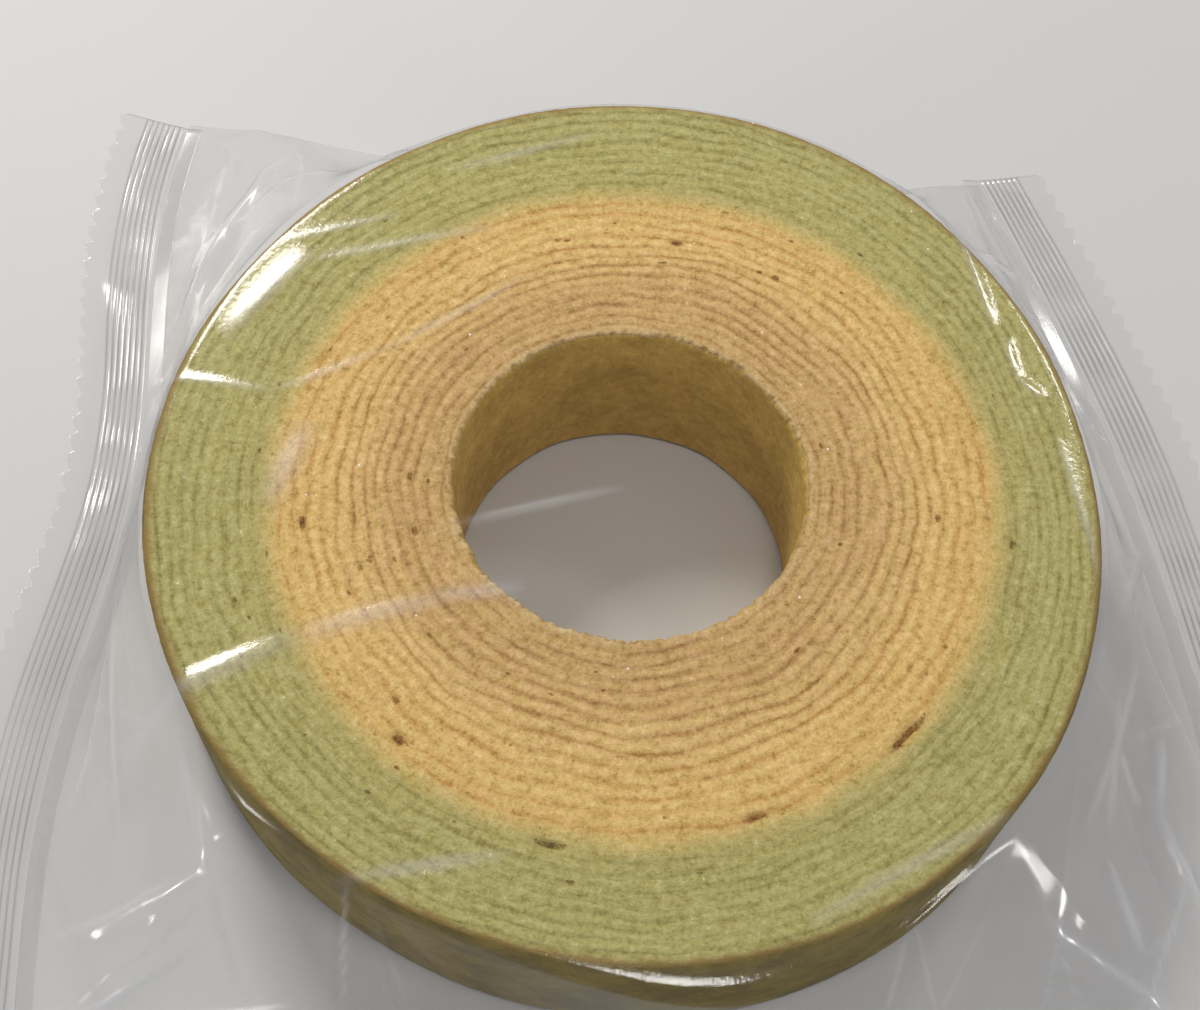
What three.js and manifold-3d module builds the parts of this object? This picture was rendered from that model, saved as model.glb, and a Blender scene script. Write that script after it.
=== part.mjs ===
import * as THREE from "three";
import { mergeVertices } from "three/addons/utils/BufferGeometryUtils.js";
import Module from "manifold-3d";

// A ring cake baked in thin layers round a roller and sliced across, in millimetres, +Z up.
// It lies on its lower cut face. Golden layers run round the hole and green ones round those.
// A tube of clear film, sealed across both ends, is pulled tight over the slice.

const wasm = await Module();
wasm.setup();

// Driving dimensions of the slice
const CAKE_DIAMETER = 160;
const CAKE_HEIGHT = 35;
const HOLE_DIAMETER = 58;
const GOLDEN_DIAMETER = 122.5;
const GOLDEN_LAYERS = 14;
const GREEN_LAYERS = 9;
const SEAM_GAP = 0.3;

// Each golden layer is a little thicker than the one inside it, and the green ones are alike.
const GOLDEN_GROWTH = 0.08;
const GREEN_GROWTH = 0;

// Relief of the cut face: a groove at each joint between two layers
const GROOVE_DEPTH = 0.35;
const LAYER_WANDER = 0.25;
const FACE_UNEVENNESS = 0.15;

// Edges and walls
const CRUST_ROUNDING = 1.4;
const HOLE_RIM_ROUNDING = 0.9;
const FOOT_ROUNDING = 0.8;
const WALL_BUMP = 0.25;
const RIM_CRUMBLE = 0.5;
const WALL_HEIGHTS = [0.35, 0.7];

// The wrap: how wide the tube of film is when it lies flat, and where its seals cross the slice
const WRAP_FLAT_WIDTH = 197;
const WRAP_HUG = 1.2;
const WRAP_GAP = 0.35;
const WRAP_WALL = 0.6;
const WRAP_FOOT = 0.8;
const LEFT_SEAL = { reach: 94, wave: 2.5, waveLength: 126, crest: 74, slant: 0 };
const RIGHT_SEAL = { reach: 113, wave: 0, waveLength: 126, crest: 0, slant: 45 };

// The skirt of film falls steeply from the rim and runs out flat at its foot.
const SKIRT_SHARES = [0.3, 0.64];
const SKIRT_SPREAD = 1.15;
const SKIRT_SAG = 1.3;

// A seal is a crimped strip with a zigzag edge, and it curls up a little.
const SEAL_ROOT = 3;
const SEAL_WIDTH = 11.5;
const SEAL_HALF_LENGTH = 95.5;
const SEAL_THICKNESS = 0.7;
const SEAL_CURL = 0.33;
const SEAL_RIPPLE = 1.1;
const SEAL_RIPPLE_LENGTH = 16;
const TEETH = 46;
const TOOTH_DEPTH = 1.4;

// How far each outline wanders from its circle, as waves round the ring
const OUTER_WAVES = [
  { count: 2, cosine: -0.54, sine: -0.44 },
  { count: 3, cosine: -0.6, sine: -0.5 },
];
const SEAM_WAVES = [{ count: 1, cosine: 1.25, sine: -1.07 }];
const HOLE_WAVES = [
  { count: 1, cosine: 0.3, sine: 0.8 },
  { count: 2, cosine: 0.44, sine: -0.12 },
];

// The larger air holes in the upper cut face. Each is longest along its layer.
const AIR_HOLES = [
  { radius: 60, degrees: 318, length: 8.6, width: 1.9, depth: 2.2 },
  { radius: 62.2, degrees: 262, length: 5, width: 1.6, depth: 1.4 },
  { radius: 59, degrees: 291.5, length: 4, width: 1.5, depth: 1.3 },
  { radius: 57.8, degrees: 235, length: 2.8, width: 1.6, depth: 1.2 },
  { radius: 55, degrees: 192, length: 2, width: 2.6, depth: 1.2 },
  { radius: 63, degrees: 354, length: 2, width: 1.8, depth: 1.2 },
  { radius: 36.8, degrees: 198, length: 1.8, width: 2.2, depth: 1.1 },
];
const AIR_HOLE_SIDES = 8;
const AIR_HOLE_RINGS = 6;

const STEPS_ROUND = 81;
const WRAP_STEPS_ROUND = 72;
const MERGE_DISTANCE = 1e-4;
const HALVINGS = 40;

const OUTER_RADIUS = CAKE_DIAMETER / 2;
const HOLE_RADIUS = HOLE_DIAMETER / 2;
const SEAM_RADIUS = GOLDEN_DIAMETER / 2;
const WRAP_CEILING = CAKE_HEIGHT + WRAP_GAP + FACE_UNEVENNESS;
const WRAP_TOP = WRAP_CEILING + WRAP_WALL;

// Radii that mark the parts of the wrap's plain section: its inside, its rim and its foot
const INSIDE_MARK = OUTER_RADIUS - 1;
const RIM_MARK = OUTER_RADIUS;
const FOOT_MARK = OUTER_RADIUS + 1;

function waveSum(waves, angle) {
  return waves.reduce(
    (sum, wave) =>
      sum + wave.cosine * Math.cos(wave.count * angle) + wave.sine * Math.sin(wave.count * angle),
    0,
  );
}

// Where a point at a nominal radius really lies: the three outlines blend into one another.
function outlineShift(radius, angle) {
  const seam = waveSum(SEAM_WAVES, angle);
  if (radius < SEAM_RADIUS) {
    const share = (radius - HOLE_RADIUS) / (SEAM_RADIUS - HOLE_RADIUS);
    return THREE.MathUtils.lerp(waveSum(HOLE_WAVES, angle), seam, share);
  }
  const share = (radius - SEAM_RADIUS) / (OUTER_RADIUS - SEAM_RADIUS);
  return THREE.MathUtils.lerp(seam, waveSum(OUTER_WAVES, angle), share);
}

// Layers wander between their neighbours, and stay true at the seam and at both edges.
function layerWander(radius, angle) {
  const band = radius < SEAM_RADIUS ? [HOLE_RADIUS, SEAM_RADIUS] : [SEAM_RADIUS, OUTER_RADIUS];
  const share = (radius - band[0]) / (band[1] - band[0]);
  const hold = Math.sin(Math.PI * THREE.MathUtils.clamp(share, 0, 1));
  const drift = Math.sin(5 * angle + 0.31 * radius) + Math.sin(9 * angle - 0.23 * radius);
  return LAYER_WANDER * hold * drift;
}

// The browned outer wall and the wall of the hole are gently lumpy.
function wallBump(angle, height) {
  const lumps = Math.sin(7 * angle + height / 6) + Math.sin(13 * angle - height / 9);
  return (WALL_BUMP * lumps) / 2;
}

function faceUnevenness(radius, angle) {
  return FACE_UNEVENNESS * Math.sin(6 * angle + radius / 5) * Math.sin(4 * angle - radius / 7);
}

// Radii of the joints between layers, from one edge of a band to the other
function layerJoints(start, end, layers, growth) {
  const joints = [];
  for (let index = 0; index <= layers; index += 1) {
    const share = index / layers;
    joints.push(start + (end - start) * (share + growth * share * (share - 1)));
  }
  return joints;
}

// The cut face from its outer to its inner edge: a crest on each layer, a groove at each joint
function cutFace(joints) {
  const points = [];
  for (let index = joints.length - 1; index > 0; index -= 1) {
    points.push(new THREE.Vector2((joints[index] + joints[index - 1]) / 2, CAKE_HEIGHT));
    if (index > 1) {
      points.push(new THREE.Vector2(joints[index - 1], CAKE_HEIGHT - GROOVE_DEPTH));
    }
  }
  return points;
}

function roundedEdge(radius, inward, rounding) {
  const corner = CAKE_HEIGHT - rounding;
  const slope = rounding * (1 - Math.SQRT1_2);
  return [
    new THREE.Vector2(radius, corner),
    new THREE.Vector2(radius + inward * slope, CAKE_HEIGHT - slope),
  ];
}

function straightWall(radius) {
  return WALL_HEIGHTS.map((share) => new THREE.Vector2(radius, CAKE_HEIGHT * share));
}

// Section of the golden band, up its outer side, in over the top and down the hole
function goldenSection() {
  const outer = SEAM_RADIUS - SEAM_GAP / 2;
  const joints = layerJoints(HOLE_RADIUS, outer, GOLDEN_LAYERS, GOLDEN_GROWTH);
  return [
    new THREE.Vector2(HOLE_RADIUS + FOOT_ROUNDING, 0),
    new THREE.Vector2(outer, 0),
    new THREE.Vector2(outer, CAKE_HEIGHT),
    ...cutFace(joints),
    ...roundedEdge(HOLE_RADIUS, 1, HOLE_RIM_ROUNDING).reverse(),
    ...straightWall(HOLE_RADIUS).reverse(),
    new THREE.Vector2(HOLE_RADIUS, FOOT_ROUNDING),
    new THREE.Vector2(HOLE_RADIUS + FOOT_ROUNDING, 0),
  ];
}

// Section of the green band, up its browned outer wall, in over the top and down the seam
function greenSection() {
  const inner = SEAM_RADIUS + SEAM_GAP / 2;
  const joints = layerJoints(inner, OUTER_RADIUS, GREEN_LAYERS, GREEN_GROWTH);
  return [
    new THREE.Vector2(inner, 0),
    new THREE.Vector2(OUTER_RADIUS - FOOT_ROUNDING, 0),
    new THREE.Vector2(OUTER_RADIUS, FOOT_ROUNDING),
    ...straightWall(OUTER_RADIUS),
    ...roundedEdge(OUTER_RADIUS, -1, CRUST_ROUNDING),
    ...cutFace(joints),
    new THREE.Vector2(inner, CAKE_HEIGHT),
    new THREE.Vector2(inner, 0),
  ];
}

function isOnSeam(radius) {
  return Math.abs(radius - SEAM_RADIUS) < SEAM_GAP;
}

function isOnWall(radius) {
  return OUTER_RADIUS - radius < CRUST_ROUNDING || radius - HOLE_RADIUS < HOLE_RIM_ROUNDING;
}

// The rim of the hole crumbles: its edge dips a little here and there.
function rimCrumble(radius, angle, height) {
  if (radius - HOLE_RADIUS > HOLE_RIM_ROUNDING || height < CAKE_HEIGHT - HOLE_RIM_ROUNDING) {
    return 0;
  }
  return RIM_CRUMBLE * Math.max(0, Math.sin(23 * angle) * Math.sin(7 * angle + 1));
}

// Moves one point of the plain ring to where it lies on the real cake.
function placePoint(point) {
  const radius = Math.hypot(point.x, point.y);
  const angle = Math.atan2(point.y, point.x);
  let moved = radius + outlineShift(radius, angle);
  let height = point.z;
  if (isOnWall(radius)) {
    moved += wallBump(angle, height);
  } else if (!isOnSeam(radius)) {
    moved += layerWander(radius, angle);
  }
  if (height > CAKE_HEIGHT / 2 && !isOnSeam(radius)) {
    height += isOnWall(radius) ? -rimCrumble(radius, angle, height) : faceUnevenness(radius, angle);
  }
  return new THREE.Vector3(moved * Math.cos(angle), moved * Math.sin(angle), height);
}

function bareGeometry(geometry) {
  const bare = geometry.clone();
  bare.deleteAttribute("normal");
  bare.deleteAttribute("uv");
  return mergeVertices(bare, MERGE_DISTANCE);
}

function latheAlongZ(section, steps) {
  const lathe = new THREE.LatheGeometry(section, steps);
  lathe.rotateX(Math.PI / 2);
  return bareGeometry(lathe);
}

function reshape(geometry, place) {
  const position = geometry.getAttribute("position");
  for (let index = 0; index < position.count; index += 1) {
    const placed = place(new THREE.Vector3().fromBufferAttribute(position, index));
    position.setXYZ(index, placed.x, placed.y, placed.z);
  }
}

function ringGeometry(section) {
  const ring = latheAlongZ(section, STEPS_ROUND);
  reshape(ring, placePoint);
  return ring;
}

function toSolid(geometry) {
  return new wasm.Manifold(
    new wasm.Mesh({
      numProp: 3,
      vertProperties: new Float32Array(geometry.getAttribute("position").array),
      triVerts: new Uint32Array(geometry.index.array),
    }),
  );
}

function toGeometry(solid) {
  const mesh = solid.getMesh();
  const geometry = new THREE.BufferGeometry();
  geometry.setAttribute("position", new THREE.BufferAttribute(mesh.vertProperties, 3));
  geometry.setIndex(new THREE.BufferAttribute(mesh.triVerts, 1));
  geometry.computeVertexNormals();
  return geometry;
}

function airHoleGeometry({ radius, degrees, length, width, depth }) {
  const hole = new THREE.SphereGeometry(1, AIR_HOLE_SIDES, AIR_HOLE_RINGS);
  hole.scale(width / 2, length / 2, depth);
  hole.translate(radius, 0, CAKE_HEIGHT);
  hole.rotateZ(THREE.MathUtils.degToRad(degrees));
  return bareGeometry(hole);
}

function cutAirHoles(solid) {
  return AIR_HOLES.reduce((rest, hole) => rest.subtract(toSolid(airHoleGeometry(hole))), solid);
}

function spongeMaterial(colour) {
  return new THREE.MeshStandardMaterial({ color: colour, roughness: 0.9, metalness: 0 });
}

function layerBand(name, section, colour) {
  const geometry = toGeometry(cutAirHoles(toSolid(ringGeometry(section))));
  const mesh = new THREE.Mesh(geometry, spongeMaterial(colour));
  mesh.name = name;
  return mesh;
}

// Where a seal starts, measured outwards from the roller's axis, at a place along its length
function sealReach({ reach, wave, waveLength, crest, slant }, y) {
  const along = (y + WRAP_FLAT_WIDTH / 2) / WRAP_FLAT_WIDTH;
  const sway = wave * Math.cos((2 * Math.PI * (y - crest)) / waveLength);
  return reach + sway - slant * along * along;
}

// Half the width that the tube covers where it spans x: what the top and the slopes leave over
function wrapHalfWidth(x) {
  const topHalf = Math.sqrt(Math.max(OUTER_RADIUS ** 2 - x ** 2, 0));
  const spare = WRAP_FLAT_WIDTH - 2 * topHalf;
  const overhang = Math.max((spare ** 2 - WRAP_TOP ** 2) / (2 * spare), 0);
  return topHalf + overhang + WRAP_HUG;
}

function isUnderWrap(x, y) {
  const withinSeals = x < sealReach(RIGHT_SEAL, y) && -x < sealReach(LEFT_SEAL, y);
  return withinSeals && Math.abs(y) < wrapHalfWidth(x);
}

// How far the foot of the wrap lies from the roller's axis, found by halving
function wrapReach(angle) {
  let near = OUTER_RADIUS;
  let far = WRAP_FLAT_WIDTH;
  for (let step = 0; step < HALVINGS; step += 1) {
    const middle = (near + far) / 2;
    if (isUnderWrap(middle * Math.cos(angle), middle * Math.sin(angle))) {
      near = middle;
    } else {
      far = middle;
    }
  }
  return near;
}

// Plain section of the wrap and the air that it holds: over the slice, down beside it, out
// along the floor and back up the skirt
function wrapSection() {
  const skirt = [...SKIRT_SHARES].reverse().map((share) => {
    const height = WRAP_FOOT + (WRAP_TOP - WRAP_FOOT) * (1 - share) ** SKIRT_SAG;
    return new THREE.Vector2(THREE.MathUtils.lerp(RIM_MARK, FOOT_MARK, share), height);
  });
  return [
    new THREE.Vector2(0, WRAP_CEILING),
    new THREE.Vector2(INSIDE_MARK, WRAP_CEILING),
    new THREE.Vector2(INSIDE_MARK, 0),
    new THREE.Vector2(FOOT_MARK, 0),
    new THREE.Vector2(FOOT_MARK, WRAP_FOOT),
    ...skirt,
    new THREE.Vector2(RIM_MARK, WRAP_TOP),
    new THREE.Vector2(0, WRAP_TOP),
  ];
}

// Moves a point of the plain wrap from its mark to the outline that the mark stands for.
function placeWrapPoint(point) {
  const mark = Math.hypot(point.x, point.y);
  if (mark < INSIDE_MARK / 2) {
    return point;
  }
  const angle = Math.atan2(point.y, point.x);
  const inside = OUTER_RADIUS + waveSum(OUTER_WAVES, angle) + WALL_BUMP + WRAP_GAP;
  const share = THREE.MathUtils.inverseLerp(RIM_MARK, FOOT_MARK, mark);
  const isInside = mark < (INSIDE_MARK + RIM_MARK) / 2;
  const spread = Math.max(share, 0) ** SKIRT_SPREAD;
  const outside = THREE.MathUtils.lerp(inside + WRAP_WALL, wrapReach(angle), spread);
  const radius = isInside ? inside : outside;
  return new THREE.Vector3(radius * Math.cos(angle), radius * Math.sin(angle), point.z);
}

// One crimped strip. Every second point of its outer edge stands out as the tip of a tooth.
// The left one is made on the right and turned half round.
function sealGeometry(seal, side) {
  const strip = new THREE.BoxGeometry(1, 2 * SEAL_HALF_LENGTH, SEAL_THICKNESS, 1, 2 * TEETH, 1);
  strip.translate(0.5, 0, SEAL_THICKNESS / 2);
  const bare = bareGeometry(strip);
  const stepLength = SEAL_HALF_LENGTH / TEETH;
  reshape(bare, ({ x: share, y, z }) => {
    const isTip = Math.round((y + SEAL_HALF_LENGTH) / stepLength) % 2 === 1;
    const tooth = share > 0.5 && isTip ? TOOTH_DEPTH : 0;
    const out = share * (SEAL_ROOT + SEAL_WIDTH) - SEAL_ROOT + tooth;
    const ripple = SEAL_RIPPLE * Math.sin(y / SEAL_RIPPLE_LENGTH) * share;
    const lift = SEAL_CURL * Math.max(out, 0) + ripple;
    return new THREE.Vector3(sealReach(seal, side * y) + out, y, z + WRAP_GAP / 2 + lift);
  });
  if (side < 0) {
    bare.rotateZ(Math.PI);
  }
  return bare;
}

function clearWrap() {
  const tube = latheAlongZ(wrapSection(), WRAP_STEPS_ROUND);
  reshape(tube, placeWrapPoint);
  const solid = toSolid(tube)
    .add(toSolid(sealGeometry(RIGHT_SEAL, 1)))
    .add(toSolid(sealGeometry(LEFT_SEAL, -1)));
  const film = new THREE.MeshStandardMaterial({
    color: 0xe9ecec,
    roughness: 0.08,
    metalness: 0,
    transparent: true,
    opacity: 0.2,
  });
  const mesh = new THREE.Mesh(toGeometry(solid), film);
  mesh.name = "clear_wrap";
  return mesh;
}

const pack = new THREE.Group();
pack.add(layerBand("golden_layers", goldenSection(), 0xcfab6d));
pack.add(layerBand("green_layers", greenSection(), 0xa8a064));
pack.add(clearWrap());

// The origin is under the middle of the whole, at the level of the lower cut face.
const middle = new THREE.Box3().setFromObject(pack).getCenter(new THREE.Vector3());
pack.position.set(-middle.x, -middle.y, 0);

export default pack;
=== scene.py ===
# %% [markdown]
# A ring cake, one slice of a long roll that was baked coat by coat on a turning roller, still
# sealed in the clear wrap that it was sold in. Every coat browned a little before the next one
# went on, so the cut face shows thin rings. The inner coats are golden and the outer ones green.
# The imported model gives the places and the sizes, and this lesson gives each piece its fine
# relief and its finish, first the two bands of cake and then the wrap.

# %% Load the frame
import math

import bpy
import numpy as np
from mathutils import Matrix, Vector


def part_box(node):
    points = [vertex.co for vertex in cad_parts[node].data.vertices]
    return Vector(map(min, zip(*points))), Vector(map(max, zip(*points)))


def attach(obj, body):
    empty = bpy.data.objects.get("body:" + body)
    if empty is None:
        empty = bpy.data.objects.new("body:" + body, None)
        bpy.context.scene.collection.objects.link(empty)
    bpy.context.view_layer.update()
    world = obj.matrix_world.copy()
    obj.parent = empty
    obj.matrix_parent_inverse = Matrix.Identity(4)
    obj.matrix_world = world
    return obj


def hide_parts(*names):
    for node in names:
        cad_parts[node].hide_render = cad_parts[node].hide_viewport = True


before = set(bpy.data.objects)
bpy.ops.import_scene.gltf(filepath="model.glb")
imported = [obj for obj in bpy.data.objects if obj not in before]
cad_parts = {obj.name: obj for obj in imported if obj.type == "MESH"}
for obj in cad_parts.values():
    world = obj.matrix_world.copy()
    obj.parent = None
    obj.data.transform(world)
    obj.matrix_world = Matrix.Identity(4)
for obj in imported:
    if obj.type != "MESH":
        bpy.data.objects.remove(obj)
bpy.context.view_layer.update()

# %% [markdown]
# All later shapes hang on a few sizes. The golden node's outer edge is a true circle, a little
# off the roller's axis, so the middle of its box gives the axis. The waves say how far each
# edge wanders from its circle, with the same numbers as the solids.

# %% Sizes of the slice
MM = 0.001
OUTER_RADIUS = 80 * MM
HOLE_RADIUS = 29 * MM
SEAM_RADIUS = 61.25 * MM
HEIGHT = 35 * MM
GOLDEN_LAYERS = 14
GREEN_LAYERS = 9
GOLDEN_GROWTH = 0.08
OUTER_WAVES = ((2, -0.54, -0.44), (3, -0.6, -0.5))
SEAM_WAVES = ((1, 1.25, -1.07),)
HOLE_WAVES = ((1, 0.3, 0.8), (2, 0.44, -0.12))

golden_low, golden_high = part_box("golden_layers")
AXIS_X = (golden_low[0] + golden_high[0]) / 2 - SEAM_WAVES[0][1] * MM
AXIS_Y = (golden_low[1] + golden_high[1]) / 2 - SEAM_WAVES[0][2] * MM
print("the roller's axis is at", round(AXIS_X / MM, 2), round(AXIS_Y / MM, 2), "mm")

# %% [markdown]
# The camera stands where the photographer stood: in front of the slice and well above it,
# rolled a few degrees. The place comes from fitting the hole, the rim and both ends of the
# hole's wall to circles, and the 54 mm lens from the way the far side shrinks.

# %% Camera
CAMERA_ELEVATION = math.radians(62.45)
CAMERA_ROLL = math.radians(3.74)
CAMERA_DISTANCE = 337 * MM
CAMERA_TARGET = Vector((AXIS_X - 4.48 * MM, AXIS_Y + 13.95 * MM, 0))
CAMERA_LENS_MM = 54

backward = Vector((0, -math.cos(CAMERA_ELEVATION), math.sin(CAMERA_ELEVATION)))
level_right = Vector((1, 0, 0))
level_up = backward.cross(level_right)
right = level_right * math.cos(CAMERA_ROLL) + level_up * math.sin(CAMERA_ROLL)
up = level_up * math.cos(CAMERA_ROLL) - level_right * math.sin(CAMERA_ROLL)

camera_data = bpy.data.cameras.new("camera")
camera_data.lens = CAMERA_LENS_MM
camera_data.clip_start = 0.01
camera = bpy.data.objects.new("camera", camera_data)
bpy.context.scene.collection.objects.link(camera)
turn = Matrix((right, up, backward)).transposed().to_4x4()
camera.matrix_world = Matrix.Translation(CAMERA_TARGET + backward * CAMERA_DISTANCE) @ turn
bpy.context.scene.camera = camera
print("the camera stands at", [round(value, 4) for value in camera.matrix_world.translation])

# %% [markdown]
# Small helpers come first. Points are handled in two ways: as they are on a perfect ring,
# by radius and angle round the axis, and as they lie on the real, slightly uneven cake.

# %% Helpers for waves and smooth noise
def wave_sum(waves, angle):
    """How far an outline wanders from its circle at an angle, in metres."""
    total = np.zeros_like(angle)
    for count, cosine, sine in waves:
        total += cosine * np.cos(count * angle) + sine * np.sin(count * angle)
    return total * MM


def share_between(value, low, high):
    return (value - low) / (high - low)


def soft_step(value, low, high):
    """0 below low, 1 above high, and smooth between."""
    t = np.clip(share_between(value, low, high), 0, 1)
    return t * t * (3 - 2 * t)


def outline_shift(radius, angle):
    """The three outlines blend into one another across the face."""
    hole = wave_sum(HOLE_WAVES, angle)
    seam = wave_sum(SEAM_WAVES, angle)
    outer = wave_sum(OUTER_WAVES, angle)
    inside = hole + (seam - hole) * share_between(radius, HOLE_RADIUS, SEAM_RADIUS)
    outside = seam + (outer - seam) * share_between(radius, SEAM_RADIUS, OUTER_RADIUS)
    return np.where(radius < SEAM_RADIUS, inside, outside)


def lattice_noise(x, y, seed, columns=256):
    """Smooth random hills, about one to each unit of x and y, between -1 and 1."""
    cells = np.random.default_rng(seed).uniform(-1, 1, (256, columns))
    column, row = np.floor(x).astype(int), np.floor(y).astype(int)
    right_share, up_share = soft_step(x - column, 0, 1), soft_step(y - row, 0, 1)
    near = cells[row % 256, column % columns] * (1 - right_share)
    near += cells[row % 256, (column + 1) % columns] * right_share
    far = cells[(row + 1) % 256, column % columns] * (1 - right_share)
    far += cells[(row + 1) % 256, (column + 1) % columns] * right_share
    return near * (1 - up_share) + far * up_share


def ring_noise(angle, y, hills, seed):
    """The same hills, but a whole number of them once round the ring, so that it closes."""
    return lattice_noise((angle / math.tau + 0.5) * hills, y, seed, hills)


print("helpers for waves and noise are ready")

# %% Helpers for points
def read_points(mesh):
    """The mesh's points as rows of x, y and z."""
    points = np.empty(len(mesh.vertices) * 3, np.float32)
    mesh.vertices.foreach_get("co", points)
    return points.reshape(-1, 3).astype(float)


def place_points(mesh, x, y, z):
    """Moves every point of the mesh; x and y count from the roller's axis."""
    points = np.stack([x + AXIS_X, y + AXIS_Y, z], 1)
    mesh.vertices.foreach_set("co", points.astype(np.float32).ravel())


def write_attribute(mesh, name, values, kind="FLOAT"):
    attribute = mesh.attributes.new(name, kind, "POINT")
    field = "vector" if kind == "FLOAT_VECTOR" else "value"
    attribute.data.foreach_set(field, np.ascontiguousarray(values, dtype=np.float32).ravel())


print("helpers for points are ready")

# %% [markdown]
# Each band of the cake is a ring with an upright, four-sided section. By hand it is a lathe
# job: one upright rectangle, its corners rounded, its sides divided, and then turned once round
# the axis. The Screw modifier does the turn, because at this many steps the spin operator
# takes half a minute. The face that shows gets the smallest steps, for the relief to come. The
# wall between the golden and the green ring is hidden, and its edges are marked sharp, so that
# the two cut faces shade as one.

# %% Turn a plain ring
ROUNDING_SEGMENTS = 4
FACE_STEP = 0.55 * MM
WALL_STEP = 1.0 * MM
UNDERSIDE_STEP = 1.8 * MM


def go_to(mode):
    bpy.ops.object.mode_set(mode=mode)


def select_where(mesh, test):
    """In edit mode, selects the vertices that pass the test, and their edges."""
    bpy.ops.mesh.select_mode(type="VERT")
    bpy.ops.mesh.select_all(action="DESELECT")
    go_to("OBJECT")
    for vertex in mesh.vertices:
        vertex.select = test(vertex.co)
    go_to("EDIT")


def round_corner(mesh, x, z, rounding):
    select_where(mesh, lambda co: abs(co.x - x) < 1e-5 and abs(co.z - z) < 1e-5)
    bpy.ops.mesh.bevel(offset=rounding, segments=ROUNDING_SEGMENTS, affect="VERTICES")


def side_step(start, end):
    """How finely a side of the section is divided; the hidden seam isn't divided at all."""
    middle = (start + end) / 2
    if abs(middle.x - SEAM_RADIUS) < 1e-5:
        return HEIGHT
    if abs(start.x - end.x) < 1e-5:
        return WALL_STEP
    return FACE_STEP if middle.z > HEIGHT / 2 else UNDERSIDE_STEP


def divide_sides(mesh):
    """Divides every long straight side of the section into even steps."""
    go_to("OBJECT")
    sides = [tuple(mesh.vertices[i].co.copy() for i in edge.vertices) for edge in mesh.edges]
    go_to("EDIT")
    for start, end in sides:
        cuts = round((end - start).length / side_step(start, end)) - 1
        if cuts < 1:
            continue
        select_where(mesh, lambda co: (co - start).length < 1e-6 or (co - end).length < 1e-6)
        bpy.ops.mesh.subdivide(number_cuts=cuts)


def upright_plane(name, inner, outer, low, high):
    """An upright rectangle beside the axis, left in edit mode."""
    bpy.ops.object.select_all(action="DESELECT")
    middle = ((inner + outer) / 2, 0, (low + high) / 2)
    bpy.ops.mesh.primitive_plane_add(size=1, location=middle, rotation=(math.pi / 2, 0, 0))
    plane = bpy.context.object
    plane.name = name
    plane.scale = (outer - inner, high - low, 1)
    bpy.ops.object.transform_apply(location=True, rotation=True, scale=True)
    go_to("EDIT")
    return plane


def turn_round_axis(section, steps):
    """Turns the section once round Z, as a lathe does, and closes it; left in edit mode."""
    go_to("OBJECT")
    screw = section.modifiers.new("turn", "SCREW")
    screw.steps = steps
    screw.render_steps = steps
    screw.angle = math.tau
    screw.use_merge_vertices = True
    screw.merge_threshold = 1e-6
    bpy.ops.object.modifier_apply(modifier=screw.name)
    go_to("EDIT")
    bpy.ops.mesh.select_all(action="SELECT")
    bpy.ops.mesh.remove_doubles(threshold=1e-6)
    bpy.ops.mesh.normals_make_consistent(inside=False)


def turned_ring(name, inner, outer, roundings, turn_steps):
    """A plain ring round Z; roundings are the section's corners as (x, z, rounding)."""
    ring = upright_plane(name, inner, outer, 0, HEIGHT)
    for x, z, rounding in roundings:
        round_corner(ring.data, x, z, rounding)
    bpy.ops.mesh.select_all(action="SELECT")
    bpy.ops.mesh.delete(type="ONLY_FACE")  # the section's outline stays
    divide_sides(ring.data)
    turn_round_axis(ring, turn_steps)
    select_where(ring.data, lambda co: abs(math.hypot(co.x, co.y) - SEAM_RADIUS) < 1e-5)
    bpy.ops.mesh.mark_sharp()
    go_to("OBJECT")
    print(name, "is turned:", len(ring.data.vertices), "points")
    return ring


CRUST_ROUNDING = 1.4 * MM
RIM_ROUNDING = 0.9 * MM
FOOT_ROUNDING = 0.8 * MM
GOLDEN_STEPS = 720
GREEN_STEPS = 1080

golden = turned_ring(
    "golden_ring", HOLE_RADIUS, SEAM_RADIUS,
    [(HOLE_RADIUS, HEIGHT, RIM_ROUNDING), (HOLE_RADIUS, 0, FOOT_ROUNDING)], GOLDEN_STEPS)
green = turned_ring(
    "green_ring", SEAM_RADIUS, OUTER_RADIUS,
    [(OUTER_RADIUS, HEIGHT, CRUST_ROUNDING), (OUTER_RADIUS, 0, FOOT_ROUNDING)], GREEN_STEPS)

# %% [markdown]
# Now the relief. The knife left each coat a hair proud of the browned skin below it, the coats
# wander between their neighbours, and air bubbles left pits where the batter didn't close.
# No operator makes that pattern, so each point is moved by a formula. The formula also stores
# on the mesh what the finish needs: which coat a point is in, its place round the ring, and
# how deep in a pit it lies.

# %% Number the layers
def layer_joints():
    """Nominal radius of every joint between coats, from the hole to the rim."""
    share = np.arange(GOLDEN_LAYERS + 1) / GOLDEN_LAYERS
    golden_share = share + GOLDEN_GROWTH * share * (share - 1)
    golden_joints = HOLE_RADIUS + (SEAM_RADIUS - HOLE_RADIUS) * golden_share
    green_joints = np.linspace(SEAM_RADIUS, OUTER_RADIUS, GREEN_LAYERS + 1)
    return np.concatenate([golden_joints, green_joints[1:]])


JOINTS = layer_joints()


def layer_number(radius):
    """0 at the hole, 14 where the green coats start and 23 at the rim."""
    return np.interp(radius, JOINTS, np.arange(len(JOINTS)))


print("coats from", round((JOINTS[1] - JOINTS[0]) / MM, 2), "to",
      round((JOINTS[GOLDEN_LAYERS] - JOINTS[GOLDEN_LAYERS - 1]) / MM, 2), "mm thick")

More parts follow.
